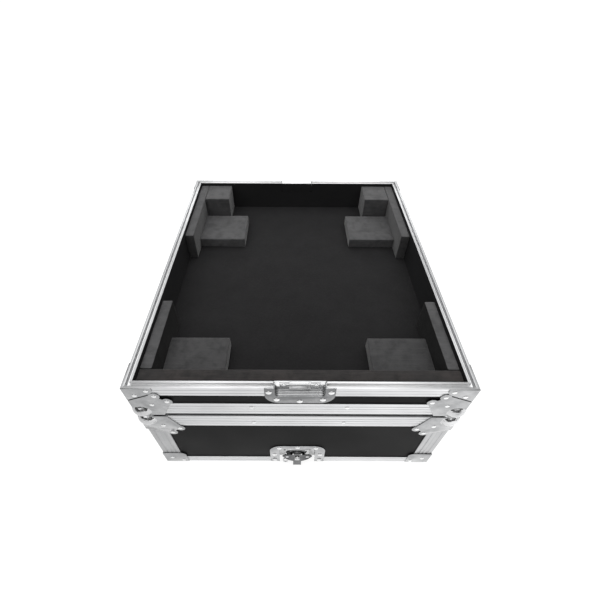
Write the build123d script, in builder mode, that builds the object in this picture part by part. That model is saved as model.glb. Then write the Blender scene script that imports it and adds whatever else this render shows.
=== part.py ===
"""Mixer flight case: a foam-lined tray standing on its own lift-off lid.

Millimetres, +Z up. The origin is the centre of the plane that the lid's rim
stands on. The front of the case faces -Y. The tray lies open side up on the
lid, and the lid lies open side down, as in the photograph.
"""

import os
from math import cos, radians, sin

from build123d import *

# Outside of the case, over the aluminium edging
case_width = 460.0
case_depth = 538.0
tray_height = 71.0
lid_height = 173.0

# Boards, felt and aluminium
wall_thickness = 9.8
floor_thickness = 7.5
lining_thickness = 1.0
felt_drop = 0.5
metal = 1.2
edging_leg = 30.0
edging_radius = 1.5
line_depth = 0.35
line_width = 0.9
edging_lines = (8.0, 15.0, 22.0)

# Tongue and groove rims
rim_face = 19.0
rim_block = 7.7
outer_lip = 3.4
groove_width = 4.6
groove_depth = 6.5
tongue_height = 6.0
tongue_clearance = 0.6
rim_lines = (6.0, 13.0)

# Ball corners
ball_radius = 17.0
ball_inset = 9.7
ball_proud = 4.0
corner_leg = 39.0
lobe_near = 37.0
lobe_far = 51.0
lobe_radius = 7.5
heel_rivet = 28.0
plate_metal = 1.2

# Flat braces on the rim corners
brace_leg = 38.0
lid_brace_height = 36.0
brace_radius = 8.0
brace_gap = 2.0
brace_rivets = ((30.0, 6.5), (12.0, 18.0))

# Rivets: flat-topped stand-ins for domed heads
rivet_head_radius = 3.4
rivet_head_height = 1.3
dish_rivet_radius = 4.2
dish_rivet_height = 1.8
crown_share = 0.65
rivet_pitch = 133.0
rivet_line = 19.0
keeper_rivets = ((0.0, 33.0), (31.0, 28.5), (-31.0, 28.5), (41.0, 10.0), (-41.0, 10.0))
latch_rivets = (
    (0.0, 60.0),
    (30.5, 57.5),
    (-30.5, 57.5),
    (39.0, 30.0),
    (-39.0, 30.0),
    (39.0, 7.0),
    (-39.0, 7.0),
)
handle_rivet_inset = 6.0

# Latch dish in the lid and keeper dish in the tray
dish_metal = 1.5
latch_dish_half = 46.7
latch_dish_height = 66.0
keeper_dish_half = 46.7
keeper_dish_height = 38.0
dish_corner = 20.0
latch_recess_half = 30.5
latch_recess_height = 54.0
keeper_recess_half = 33.0
keeper_recess_height = 20.0
recess_corner = 5.0
pocket_clearance = 0.3

# Strike inside the keeper dish
strike_half = 14.3
strike_height = 19.0
strike_plate = 1.0
strike_tab_half = 27.0
strike_tab_low = 3.0
strike_tab_high = 12.0
strike_head_across = 21.5
strike_head_radius = 3.0
strike_head_height = 0.8
catch_low = 0.4
catch_edge = 3.3
rib_height = 1.8
rib_pitch = 3.4
first_rib = 13.4
rib_count = 2

# Latch mechanism, measured down from its hinge pin and out from the dish's back
hinge_height = 34.5
hinge_back_gap = 0.5
hinge_pin_radius = 1.2
knuckle_wall = 1.1
running_clearance = 0.05
side_clearance = 0.4
slide_clearance = 0.3
ear_width = 3.0
latch_plate_half = 20.0
latch_plate_length = 27.0
latch_plate_metal = 1.6
latch_plate_gap = 0.8
latch_plate_corner = 6.0
eye_across = 20.5
eye_down = 31.0
eye_radius = 5.0
eye_hole = 2.8
eye_neck_half = 4.0
eye_neck_across = 17.5
claw_half = 13.0
claw_hook_half = 7.0
claw_top = 3.0
claw_waist = 27.0
claw_tip = 40.0
claw_metal = 1.7
hook_metal = 2.0
claw_travel = 6.0
rotor_down = 15.5
rotor_shaft = 3.0
rotor_head_radius = 4.2
rotor_head = 0.5
cam_radius = 5.5
cam_slot_clearance = 0.8
rotor_flange_radius = 10.5
rotor_flange = 1.2
knob_radius = 3.6
knob_height = 4.2
knob_slot = 1.4
knob_slot_depth = 1.2
wing_half = 26.0
wing_top = 6.5
wing_tip = 3.0
wing_shoulder = 21.0
wing_bottom = 10.5
wing_metal = 1.7
wing_notch_clearance = 0.6
wing_hole = 3.0
wing_hole_across = 17.5
wing_pivot_up = 8.3
wing_pin_radius = 0.6
wing_knuckle = 1.15
wing_knuckle_half = 6.0
wing_lug_radius = 1.3
wing_lug = 2.0
wing_gap = 0.1
rest_swing = 17.0

# Spring handle in each side wall of the lid
handle_dish_half = 70.0
handle_dish_height = 96.0
handle_recess_half = 58.0
handle_recess_height = 74.0
handle_recess_depth = 22.0
handle_height = 79.0
bail_radius = 4.0
bail_drop = 44.0
bail_bend = 9.0
bail_end_bend = 5.0
bail_pivot_up = 22.0
bail_inset = 9.5
grip_radius = 8.0
grip_shoulder = 11.0
saddle_width = 6.5
saddle_half = 7.0
saddle_gap = 0.5
saddle_inset = 2.0
bail_clearance = 0.05

# Foam in the tray
foam_drop = 5.5
front_strip = 21.0
side_foam = 17.0
front_side_length = 128.0
rear_side_length = 193.0
rear_block_width = 52.5
rear_block_length = 59.0
pad_thickness = 21.0
pad_width = 93.0
front_pad_length = 81.0
rear_pad_length = 88.0
rear_pad_gap = 10.0

# Foam blocks under the top of the lid, one in each corner
lid_foam_width = 90.0
lid_foam_length = 90.0
lid_foam_thickness = 30.0

# Heights and wall stack that follow from the sizes above
lid_lip = tongue_height
lid_top = lid_lip + lid_height
tray_bottom = lid_top + 2 * ball_proud
tray_lip = tray_bottom + tray_height
rim_width = metal + wall_thickness
wall_stack = rim_width + lining_thickness
inner_x = case_width / 2 - wall_stack
inner_y = case_depth / 2 - wall_stack
tray_floor_top = tray_bottom + metal + floor_thickness
tray_bed = tray_floor_top + lining_thickness
lid_roof = lid_top - metal - floor_thickness
lid_ceiling = lid_roof - lining_thickness
foam_top = tray_lip - foam_drop
recess_depth = wall_stack - dish_metal

UP = Vector(0, 0, 1)
SIDES = {
    "front": (Vector(0, -case_depth / 2, 0), Vector(1, 0, 0), case_width),
    "rear": (Vector(0, case_depth / 2, 0), Vector(-1, 0, 0), case_width),
    "left": (Vector(-case_width / 2, 0, 0), Vector(0, -1, 0), case_depth),
    "right": (Vector(case_width / 2, 0, 0), Vector(0, 1, 0), case_depth),
}
CORNERS = [(-1, -1), (1, -1), (1, 1), (-1, 1)]
written = []


def keep(builder, name):
    """Labels a finished piece and writes it as one STEP file."""
    builder.part.label = name
    export_step(builder.part, f"parts/{name}.step")
    written.append(name)


def wall_plane(side, height):
    """Plane on a wall's outer face: x along the wall, y up, z outward."""
    middle, along, _ = SIDES[side]
    return Plane(origin=middle + UP * height, x_dir=along, z_dir=along.cross(UP))


def section_plane(side, height):
    """Plane across a wall's edge: x into the case, y up, z along the wall."""
    middle, along, _ = SIDES[side]
    inward = UP.cross(along)
    return Plane(origin=middle + UP * height, x_dir=inward, z_dir=along)


def mitre_ends(side):
    """Cuts both ends of the length being built at 45 degrees in plan."""
    middle, along, length = SIDES[side]
    inward = UP.cross(along)
    for end in (1, -1):
        corner = middle + along * (end * length / 2)
        split(bisect_by=Plane(origin=corner, z_dir=along * end + inward), keep=Keep.BOTTOM)


def rim_outline(toward, has_tongue):
    """Draws a rim's section. toward is 1 where the wall is above the lip, -1 below."""
    first = outer_lip
    last = outer_lip + groove_width
    step = toward * groove_depth
    if has_tongue:
        first = outer_lip + tongue_clearance
        last = outer_lip + groove_width - tongue_clearance
        step = -toward * tongue_height
    with BuildLine() as outline:
        Polyline(
            (0, 0),
            (first, 0),
            (first, step),
            (last, step),
            (last, 0),
            (rim_width, 0),
            (rim_width, toward * rim_block),
            (metal, toward * rim_block),
            (metal, toward * rim_face),
            (0, toward * rim_face),
            close=True,
        )
    make_face(outline.edges())
    for down in rim_lines:
        with Locations((0, toward * down)):
            Rectangle(2 * line_depth, line_width, mode=Mode.SUBTRACT)


def edging_outline(section, across, toward):
    """Draws an angle's section with its heel at the origin and rounds the heel."""
    with BuildLine() as outline:
        Polyline(
            (0, 0),
            (across * edging_leg, 0),
            (across * edging_leg, toward * metal),
            (across * metal, toward * metal),
            (across * metal, toward * edging_leg),
            (0, toward * edging_leg),
            close=True,
        )
    make_face(outline.edges())
    fillet(section.vertices().sort_by_distance((0, 0, 0))[0], edging_radius)
    for line in edging_lines:
        with Locations((0, toward * line)):
            Rectangle(2 * line_depth, line_width, mode=Mode.SUBTRACT)
        with Locations((across * line, 0)):
            Rectangle(line_width, 2 * line_depth, mode=Mode.SUBTRACT)


def dish_outline(half, height):
    """Draws a plate with its straight edge on y = 0 and its far corners rounded."""
    with Locations((0, height / 2)):
        Rectangle(2 * half, height)


def round_far_corners(sketch, radius):
    """Rounds the two corners of a sketch that are furthest along its y axis."""
    fillet(sketch.vertices().group_by(Axis.Y)[-1], radius)


# Where the dishes go: y runs from the lip into the wall, z outward
DISH_SIDES = ("front", "rear")
HANDLE_SIDES = ("left", "right")


def latch_plane(side):
    """Plane on the lid's lip line, y up into the lid."""
    return wall_plane(side, lid_lip)


def keeper_plane(side):
    """Plane on the tray's lip line, y down into the tray."""
    plane = wall_plane(side, tray_lip)
    return Plane(origin=plane.origin, x_dir=-plane.x_dir, z_dir=plane.z_dir)


def handle_plane(side):
    """Plane at the middle of a handle dish."""
    return wall_plane(side, lid_lip + handle_height)


def dish_cut(plane, half, height, recess_half, recess_height):
    """The space that a rim dish takes out of the rim, board and lining."""
    with BuildPart() as cut:
        with BuildSketch(plane.offset(-metal)) as outline:
            dish_outline(half, height)
            round_far_corners(outline, dish_corner)
        extrude(amount=2 * metal)
        around = dish_metal + pocket_clearance
        with BuildSketch(plane.offset(metal)) as pocket:
            dish_outline(recess_half + around, recess_height + around)
            round_far_corners(pocket, recess_corner + around)
        extrude(amount=-(wall_stack + metal))
        lip_side = -tongue_height - metal
        with BuildSketch(plane.offset(metal)):
            with Locations((0, lip_side / 2)):
                Rectangle(2 * (recess_half + around), -lip_side)
        extrude(amount=-(wall_stack + metal))
    return cut.part


def rim_dish(plane, half, height, recess_half, recess_height):
    """A pressed dish that is open towards the lip."""
    with BuildPart() as dish:
        with BuildSketch(plane.offset(-metal)) as outline:
            dish_outline(half, height)
            round_far_corners(outline, dish_corner)
        extrude(amount=dish_metal)
        with BuildSketch(plane.offset(-metal)) as pocket:
            dish_outline(recess_half + dish_metal, recess_height + dish_metal)
            round_far_corners(pocket, recess_corner + dish_metal)
        extrude(amount=-(wall_stack - metal))
        with BuildSketch(plane.offset(metal)) as hollow:
            dish_outline(recess_half, recess_height)
            round_far_corners(hollow, recess_corner)
        extrude(amount=-(recess_depth + metal), mode=Mode.SUBTRACT)
    return dish.part


def corner_point(sx, sy, height):
    """A bottom, top or lip corner of the case."""
    return Vector(sx * case_width / 2, sy * case_depth / 2, height)


def corner_faces(sx, sy, inward_z):
    """The three pairs of directions in a corner's faces, with each face's outward one."""
    ax = Vector(-sx, 0, 0)
    ay = Vector(0, -sy, 0)
    az = Vector(0, 0, inward_z)
    return [(ax, ay, -az), (ay, az, -ax), (az, ax, -ay)]


def plane_facing(origin, across, outward):
    """A plane whose z axis is the outward direction and whose x axis is across."""
    return Plane(origin=origin, x_dir=across, z_dir=outward)


def corner_rivets(height, inward_z):
    """Rivet seats on the plates of four ball corners."""
    spots = []
    seats = ((lobe_near, lobe_far), (lobe_far, lobe_near), (heel_rivet, heel_rivet))
    for sx, sy in CORNERS:
        origin = corner_point(sx, sy, height)
        for first, second, outward in corner_faces(sx, sy, inward_z):
            for a, b in seats:
                place = origin + first * a + second * b + outward * plate_metal
                spots.append(plane_facing(place, first, outward))
    return spots


def wall_faces(sx, sy):
    """The two walls at a corner: the way along each one, and the way out of it."""
    return [(Vector(-sx, 0, 0), Vector(0, sy, 0)), (Vector(0, -sy, 0), Vector(sx, 0, 0))]


def brace_seats(lip, toward):
    """Rivet seats on four flat braces."""
    spots = []
    for sx, sy in CORNERS:
        origin = corner_point(sx, sy, lip)
        for along, outward in wall_faces(sx, sy):
            for a, down in brace_rivets:
                place = origin + along * a + UP * (toward * down) + outward * plate_metal
                spots.append(plane_facing(place, along, outward))
    return spots


def edging_seats(height, toward):
    """Rivet seats along both legs of the four long edgings."""
    spots = []
    reach = lobe_far + lobe_radius + rivet_head_radius
    for side in SIDES:
        middle, along, length = SIDES[side]
        inward = UP.cross(along)
        place = rivet_pitch / 2
        while place < length / 2 - reach:
            for sign in (1, -1):
                heel = middle + along * (sign * place) + UP * height
                spots.append(plane_facing(heel + UP * (toward * rivet_line), along, -inward))
                spots.append(plane_facing(heel + inward * rivet_line, along, UP * -toward))
            place += rivet_pitch
    return spots


def dish_seats(plane_of, sides, points):
    """Rivet seats on the flanges of dishes."""
    spots = []
    for side in sides:
        seat = plane_of(side).offset(dish_metal - metal)
        for x, y in points:
            place = seat.from_local_coords((x, y, 0))
            spots.append(Plane(origin=place, x_dir=seat.x_dir, z_dir=seat.z_dir))
    return spots


handle_corner = (handle_dish_half - handle_rivet_inset, handle_dish_height / 2 - handle_rivet_inset)
handle_points = [(sx * handle_corner[0], sy * handle_corner[1]) for sx, sy in CORNERS]

tray_seats = corner_rivets(tray_bottom, 1) + brace_seats(tray_lip, -1) + edging_seats(tray_bottom, 1)
lid_seats = corner_rivets(lid_top, -1) + brace_seats(lid_lip, 1) + edging_seats(lid_top, -1)
keeper_seats = dish_seats(keeper_plane, DISH_SIDES, keeper_rivets)
latch_seats = dish_seats(latch_plane, DISH_SIDES, latch_rivets)
latch_seats += dish_seats(handle_plane, HANDLE_SIDES, handle_points)


def rivet_group(seats, dish_seats_here):
    """All rivet heads of one half of the case, with larger ones on its dishes."""
    upward = (Align.CENTER, Align.CENTER, Align.MIN)
    with BuildPart() as group:
        with Locations(*[seat.location for seat in seats]):
            Cone(rivet_head_radius, crown_share * rivet_head_radius, rivet_head_height, align=upward)
        with Locations(*[seat.location for seat in dish_seats_here]):
            Cone(dish_rivet_radius, crown_share * dish_rivet_radius, dish_rivet_height, align=upward)
    return group


os.makedirs("parts", exist_ok=True)
keep(rivet_group(tray_seats, keeper_seats), "tray_rivets")
keep(rivet_group(lid_seats, latch_seats), "lid_rivets")

# Spaces for the dishes
keeper_cuts = {}
latch_cuts = {}
for side in DISH_SIDES:
    keeper_cuts[side] = dish_cut(
        keeper_plane(side), keeper_dish_half, keeper_dish_height, keeper_recess_half, keeper_recess_height
    )
    latch_cuts[side] = dish_cut(
        latch_plane(side), latch_dish_half, latch_dish_height, latch_recess_half, latch_recess_height
    )
for side in HANDLE_SIDES:
    with BuildPart() as pocket_cut:
        with BuildSketch(handle_plane(side).offset(metal)):
            around = dish_metal + pocket_clearance
            RectangleRounded(
                2 * (handle_recess_half + around),
                handle_recess_height + 2 * around,
                recess_corner + around,
            )
        extrude(amount=-(wall_stack + 2 * metal))
    latch_cuts[side] = pocket_cut.part


def cut_dish(cuts, side):
    """Takes a dish's space out of the piece being built."""
    if side in cuts:
        add(cuts[side], mode=Mode.SUBTRACT)


def wall_panel(side, low, high):
    """One board of a wall. The front and rear boards cover the ends of the side ones."""
    middle, along, length = SIDES[side]
    half = length / 2 - metal
    if side in HANDLE_SIDES:
        half = length / 2 - metal - wall_thickness
    plane = wall_plane(side, (low + high) / 2)
    with BuildPart() as board:
        with BuildSketch(plane.offset(-metal)):
            Rectangle(2 * half, high - low)
        extrude(amount=-wall_thickness)
        cut_dish(keeper_cuts if high > lid_top else latch_cuts, side)
    return board


def flat_panel(low):
    """The floor of the tray or the top of the lid."""
    with BuildPart() as board:
        with BuildSketch(Plane.XY.offset(low)):
            Rectangle(case_width - 2 * metal, case_depth - 2 * metal)
        extrude(amount=floor_thickness)
    return board


keep(flat_panel(tray_bottom + metal), "tray_floor_panel")
keep(flat_panel(lid_roof), "lid_top_panel")
for side in SIDES:
    keep(wall_panel(side, tray_floor_top, tray_lip - rim_block), f"tray_{side}_panel")
    keep(wall_panel(side, lid_lip + rim_block, lid_roof), f"lid_{side}_panel")


def rim_length(side, lip, toward, has_tongue, cuts):
    """One mitred length of a rim, cut for the dish on its side."""
    with BuildPart() as rim:
        with BuildSketch(section_plane(side, lip)):
            rim_outline(toward, has_tongue)
        extrude(amount=SIDES[side][2] / 2, both=True)
        mitre_ends(side)
        cut_dish(cuts, side)
    return rim


for side in SIDES:
    keep(rim_length(side, tray_lip, -1, False, keeper_cuts), f"tray_{side}_rim")
    keep(rim_length(side, lid_lip, 1, True, latch_cuts), f"lid_{side}_rim")


def long_edging(side, height, toward):
    """One mitred angle along the bottom of the tray or the top of the lid."""
    with BuildPart() as angle:
        with BuildSketch(section_plane(side, height)) as section:
            edging_outline(section, 1, toward)
        extrude(amount=SIDES[side][2] / 2, both=True)
        mitre_ends(side)
    return angle.part


def edging_ring(height, toward):
    """The four long edgings of one half of the case."""
    with BuildPart() as ring:
        for side in SIDES:
            add(long_edging(side, height, toward), clean=False)
    return ring


def corner_edging(low, high):
    """The four upright angles between the rim and the long edgings."""
    with BuildPart() as uprights:
        for sx, sy in CORNERS:
            heel = corner_point(sx, sy, low)
            with BuildSketch(Plane(origin=heel)) as section:
                edging_outline(section, -sx, -sy)
            extrude(amount=high - low)
    return uprights


keep(edging_ring(tray_bottom, 1), "tray_bottom_edging")
keep(edging_ring(lid_top, -1), "lid_top_edging")
keep(corner_edging(tray_bottom + edging_leg, tray_lip - rim_face), "tray_corner_edging")
keep(corner_edging(lid_lip + rim_face, lid_top - edging_leg), "lid_corner_edging")


def ball_corners(height, inward_z):
    """Four ball corners: three lobed plates each, and a ball with a stacking flat."""
    reach = 2 * lobe_far
    with BuildPart() as corners:
        for sx, sy in CORNERS:
            origin = corner_point(sx, sy, height)
            inward = Vector(-sx, -sy, inward_z)
            for first, second, outward in corner_faces(sx, sy, inward_z):
                face = Plane(origin=origin, x_dir=first, z_dir=first.cross(second))
                with BuildSketch(face) as plate:
                    with BuildLine():
                        Polyline(
                            (-plate_metal, -plate_metal),
                            (corner_leg, -plate_metal),
                            (lobe_far + lobe_radius / 2, lobe_near - lobe_radius / 2),
                            (lobe_near - lobe_radius / 2, lobe_far + lobe_radius / 2),
                            (-plate_metal, corner_leg),
                            close=True,
                        )
                    make_face()
                    with Locations((lobe_near, lobe_far), (lobe_far, lobe_near)):
                        Circle(lobe_radius)
                extrude(amount=plate_metal, dir=outward)
            with Locations(origin + inward * ball_inset):
                Sphere(ball_radius)
            with Locations(origin + inward * (reach / 2)):
                Box(reach, reach, reach, mode=Mode.SUBTRACT)
            with Locations(origin - Vector(0, 0, inward_z) * (ball_proud + ball_radius / 2)):
                Box(reach, reach, ball_radius, mode=Mode.SUBTRACT)
    return corners


keep(ball_corners(tray_bottom, 1), "tray_ball_corners")
keep(ball_corners(lid_top, -1), "lid_ball_corners")


def corner_braces(lip, toward, heel_height, end_height):
    """Four flat braces bent round the corners of a rim."""
    with BuildPart() as braces:
        for sx, sy in CORNERS:
            origin = corner_point(sx, sy, lip)
            for along, outward in wall_faces(sx, sy):
                down = UP * toward
                face = Plane(origin=origin, x_dir=along, z_dir=along.cross(down))
                with BuildSketch(face) as plate:
                    with BuildLine():
                        Polyline(
                            (-plate_metal, 0),
                            (brace_leg, 0),
                            (brace_leg, end_height),
                            (-plate_metal, heel_height),
                            close=True,
                        )
                    make_face()
                    far_corner = plate.vertices().sort_by_distance((2 * brace_leg, 2 * brace_leg, 0))[0]
                    fillet(far_corner, brace_radius)
                extrude(amount=plate_metal, dir=outward)
    return braces


tray_brace_end = tray_height - lobe_far - lobe_radius - brace_gap
tray_brace_heel = tray_height - corner_leg - brace_gap
keep(corner_braces(tray_lip, -1, tray_brace_heel, tray_brace_end), "tray_corner_braces")
keep(corner_braces(lid_lip, 1, lid_brace_height, lid_brace_height), "lid_corner_braces")


# Dishes, strikes and hinge pins
knuckle_radius = hinge_pin_radius + knuckle_wall
hinge_out = -recess_depth + hinge_back_gap + knuckle_radius
plate_back = -recess_depth + latch_plate_gap - hinge_out
claw_back = plate_back + latch_plate_metal + slide_clearance
flange_back = claw_back + claw_metal + slide_clearance
flange_front = flange_back + rotor_flange
wing_pivot_out = flange_front + wing_gap + wing_knuckle
cam_offset = claw_travel / 2
hook_depth = hinge_out + claw_back + recess_depth - side_clearance
rib_front = hinge_out + claw_back - side_clearance


def hinge_plane(side):
    """Plane at the latch hinge: x along the pin, y up, z outward."""
    plane = latch_plane(side)
    middle = plane.from_local_coords((0, hinge_height, hinge_out))
    return Plane(origin=middle, x_dir=plane.x_dir, z_dir=plane.z_dir)


def swing_plane(side):
    """The hinge plane turned outward to where the latch hangs in the photograph."""
    plane = hinge_plane(side)
    tilt = radians(rest_swing)
    outward = plane.z_dir * cos(tilt) + plane.y_dir * sin(tilt)
    return Plane(origin=plane.origin, x_dir=plane.x_dir, z_dir=outward)


def cross_plane(plane, y, z):
    """A plane across the latch at a height and depth, for round pins along x."""
    return Plane(origin=plane.from_local_coords((0, y, z)), x_dir=plane.y_dir, z_dir=plane.x_dir)


def latch_dish(side):
    """The lid's dish with two ears for the hinge pin."""
    plane = latch_plane(side)
    shell = rim_dish(plane, latch_dish_half, latch_dish_height, latch_recess_half, latch_recess_height)
    ear_middle = latch_plate_half + side_clearance + ear_width / 2
    with BuildPart() as dish:
        add(shell)
        with BuildSketch(plane.offset(-recess_depth)) as feet:
            with Locations((ear_middle, hinge_height), (-ear_middle, hinge_height)):
                Rectangle(ear_width, 2 * knuckle_radius)
        extrude(amount=hinge_out + knuckle_radius + recess_depth)
        with BuildSketch(cross_plane(hinge_plane(side), 0, 0)):
            Circle(hinge_pin_radius)
        extrude(amount=latch_dish_half / 2 + ear_middle / 2, both=True, mode=Mode.SUBTRACT)
    return dish


for side in DISH_SIDES:
    keep(latch_dish(side), f"latch_dish_{side}")
    shell = rim_dish(
        keeper_plane(side), keeper_dish_half, keeper_dish_height, keeper_recess_half, keeper_recess_height
    )
    with BuildPart() as keeper:
        add(shell)
    keep(keeper, f"keeper_dish_{side}")

with BuildPart() as pins:
    for side in DISH_SIDES:
        with BuildSketch(cross_plane(hinge_plane(side), 0, 0)):
            Circle(hinge_pin_radius)
        extrude(amount=latch_plate_half + side_clearance + ear_width, both=True)
keep(pins, "latch_hinge_pins")

for side in DISH_SIDES:
    back = keeper_plane(side).offset(-recess_depth)
    with BuildPart() as strike:
        with BuildSketch(back):
            with Locations((0, (catch_low + strike_height) / 2)):
                Rectangle(2 * strike_half, strike_height - catch_low)
            with Locations((0, (strike_tab_low + strike_tab_high) / 2)):
                Rectangle(2 * strike_tab_half, strike_tab_high - strike_tab_low)
        extrude(amount=strike_plate)
        with BuildSketch(back):
            with Locations((0, (catch_low + catch_edge) / 2)):
                Rectangle(2 * strike_half, catch_edge - catch_low)
            for rib in range(rib_count):
                with Locations((0, first_rib + rib * rib_pitch + rib_height / 2)):
                    Rectangle(2 * strike_half, rib_height)
        extrude(amount=rib_front + recess_depth)
        with BuildSketch(back):
            head_down = (strike_tab_low + strike_tab_high) / 2
            with Locations((strike_head_across, head_down), (-strike_head_across, head_down)):
                Circle(strike_head_radius)
        extrude(amount=strike_plate + strike_head_height)
    keep(strike, f"keeper_strike_{side}")

# The moving pieces of both latches
for side in DISH_SIDES:
    hung = swing_plane(side)
    with BuildPart() as plate:
        with BuildSketch(hung.offset(plate_back)) as face:
            with Locations((0, -latch_plate_length / 2)):
                Rectangle(2 * latch_plate_half, latch_plate_length)
            fillet(face.vertices().group_by(Axis.Y)[0], latch_plate_corner)
            neck_top = -rotor_down
            with Locations((-eye_neck_across, (neck_top - eye_down) / 2)):
                Rectangle(2 * eye_neck_half, neck_top + eye_down)
            with Locations((-eye_across, -eye_down)):
                Circle(eye_radius)
                Circle(eye_hole, mode=Mode.SUBTRACT)
        extrude(amount=latch_plate_metal)
        with BuildSketch(cross_plane(hung, 0, 0)):
            Circle(knuckle_radius)
        extrude(amount=latch_plate_half, both=True)
        with BuildSketch(cross_plane(hung, 0, 0)):
            Circle(hinge_pin_radius + running_clearance)
        extrude(amount=latch_dish_half, both=True, mode=Mode.SUBTRACT)
        with BuildSketch(hung.offset(plate_back)):
            with Locations((0, -rotor_down)):
                Circle(rotor_shaft + running_clearance)
        extrude(amount=latch_plate_metal, mode=Mode.SUBTRACT)
    keep(plate, f"latch_plate_{side}")

    with BuildPart() as claw:
        with BuildSketch(hung.offset(claw_back)):
            with Locations((0, -(claw_top + claw_waist) / 2)):
                Rectangle(2 * claw_half, claw_waist - claw_top)
            with Locations((0, -(claw_waist + claw_tip) / 2)):
                Rectangle(2 * claw_hook_half, claw_tip - claw_waist)
            with Locations((0, -rotor_down + cam_offset)):
                Rectangle(
                    2 * (cam_radius + cam_offset + side_clearance),
                    2 * (cam_radius + cam_slot_clearance),
                    mode=Mode.SUBTRACT,
                )
        extrude(amount=claw_metal)
        with BuildSketch(hung.offset(claw_back)):
            with Locations((0, -claw_tip + hook_metal / 2)):
                Rectangle(2 * claw_hook_half, hook_metal)
        extrude(amount=-hook_depth)
    keep(claw, f"latch_claw_{side}")

    head_front = plate_back - running_clearance
    with BuildPart() as rotor:
        with BuildSketch(hung.offset(head_front)):
            with Locations((0, -rotor_down)):
                Circle(rotor_head_radius)
        extrude(amount=-rotor_head)
        with BuildSketch(hung.offset(head_front)):
            with Locations((0, -rotor_down)):
                Circle(rotor_shaft)
        extrude(amount=flange_back - head_front)
        with BuildSketch(hung.offset(claw_back)):
            with Locations((0, -rotor_down + cam_offset)):
                Circle(cam_radius)
        extrude(amount=flange_back - claw_back)
        with BuildSketch(hung.offset(flange_back)):
            with Locations((0, -rotor_down)):
                Circle(rotor_flange_radius)
        extrude(amount=rotor_flange)
        with BuildSketch(hung.offset(flange_front)):
            with Locations((0, -rotor_down)):
                Circle(knob_radius)
        extrude(amount=knob_height)
        with BuildSketch(hung.offset(flange_front + knob_height)):
            with Locations((0, -rotor_down)):
                Rectangle(2 * knob_radius, knob_slot)
                Rectangle(knob_slot, 2 * knob_radius)
        extrude(amount=-knob_slot_depth, mode=Mode.SUBTRACT)
        pivot = cross_plane(hung, -rotor_down + wing_pivot_up, wing_pivot_out)
        lug_inner = wing_knuckle_half + side_clearance / 2
        for sign in (1, -1):
            with BuildSketch(pivot.offset(sign * lug_inner)):
                Circle(wing_lug_radius)
                foot = wing_pivot_out - flange_front
                with Locations((0, foot / 2)):
                    Rectangle(2 * wing_lug_radius, foot)
            extrude(amount=sign * wing_lug)
        with BuildSketch(pivot):
            Circle(wing_pin_radius)
        extrude(amount=lug_inner + wing_lug / 2, both=True)
    keep(rotor, f"latch_rotor_{side}")

    with BuildPart() as wing:
        turn = Plane(origin=hung.from_local_coords((0, -rotor_down, 0)), x_dir=hung.x_dir, z_dir=hung.z_dir)
        with BuildSketch(turn.offset(wing_pivot_out - wing_metal / 2)):
            with BuildLine():
                Polyline(
                    (-wing_half, wing_tip),
                    (-wing_shoulder, wing_top),
                    (wing_shoulder, wing_top),
                    (wing_half, wing_tip),
                )
                ThreePointArc((wing_half, wing_tip), (0, -wing_bottom), (-wing_half, wing_tip))
            make_face()
            with Locations((0, (wing_top + wing_pivot_up) / 2)):
                Rectangle(2 * wing_knuckle_half, wing_pivot_up - wing_top)
            notch = knob_radius + wing_notch_clearance
            with Locations((0, 0)):
                Circle(notch, mode=Mode.SUBTRACT)
            with Locations((0, -wing_bottom / 2)):
                Rectangle(2 * notch, wing_bottom, mode=Mode.SUBTRACT)
            with Locations((wing_hole_across, 0), (-wing_hole_across, 0)):
                Circle(wing_hole, mode=Mode.SUBTRACT)
        extrude(amount=wing_metal)
        with BuildSketch(pivot):
            Circle(wing_knuckle)
        extrude(amount=wing_knuckle_half, both=True)
        with BuildSketch(pivot):
            Circle(wing_pin_radius + running_clearance)
        extrude(amount=wing_half, both=True, mode=Mode.SUBTRACT)
    keep(wing, f"latch_wing_{side}")

# Spring handles
saddle_end = handle_recess_half - saddle_inset
saddle_start = saddle_end - saddle_width
bail_half = saddle_start - saddle_gap - bail_end_bend
for side in HANDLE_SIDES:
    plane = handle_plane(side)
    with BuildPart() as handle_dish:
        with BuildSketch(plane.offset(-metal)):
            RectangleRounded(2 * handle_dish_half, handle_dish_height, recess_corner + dish_metal)
        extrude(amount=dish_metal)
        with BuildSketch(plane.offset(-metal)):
            RectangleRounded(
                2 * (handle_recess_half + dish_metal),
                handle_recess_height + 2 * dish_metal,
                recess_corner + dish_metal,
            )
        extrude(amount=-(handle_recess_depth + dish_metal - metal))
        with BuildSketch(plane.offset(metal)):
            RectangleRounded(2 * handle_recess_half, handle_recess_height, recess_corner)
        extrude(amount=-(handle_recess_depth + metal), mode=Mode.SUBTRACT)
    keep(handle_dish, f"handle_dish_{side}")

    across = cross_plane(plane, bail_pivot_up, -bail_inset)
    with BuildPart() as bail:
        with BuildLine(plane.offset(-bail_inset)) as route:
            FilletPolyline(
                (-saddle_end, bail_pivot_up),
                (-bail_half, bail_pivot_up),
                (-bail_half, bail_pivot_up - bail_drop),
                (bail_half, bail_pivot_up - bail_drop),
                (bail_half, bail_pivot_up),
                (saddle_end, bail_pivot_up),
                radius=(bail_end_bend, bail_bend, bail_bend, bail_end_bend),
            )
        with BuildSketch(across.offset(-saddle_end)):
            Circle(bail_radius)
        sweep()
    keep(bail, f"handle_bail_{side}")

    with BuildPart() as grip:
        with BuildSketch(cross_plane(plane, bail_pivot_up - bail_drop, -bail_inset)):
            Circle(grip_radius)
            Circle(bail_radius + bail_clearance, mode=Mode.SUBTRACT)
        extrude(amount=bail_half - grip_shoulder, both=True)
        fillet(grip.edges().filter_by(GeomType.CIRCLE).group_by(SortBy.RADIUS)[-1], bail_radius / 2)
    keep(grip, f"handle_grip_{side}")

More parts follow.
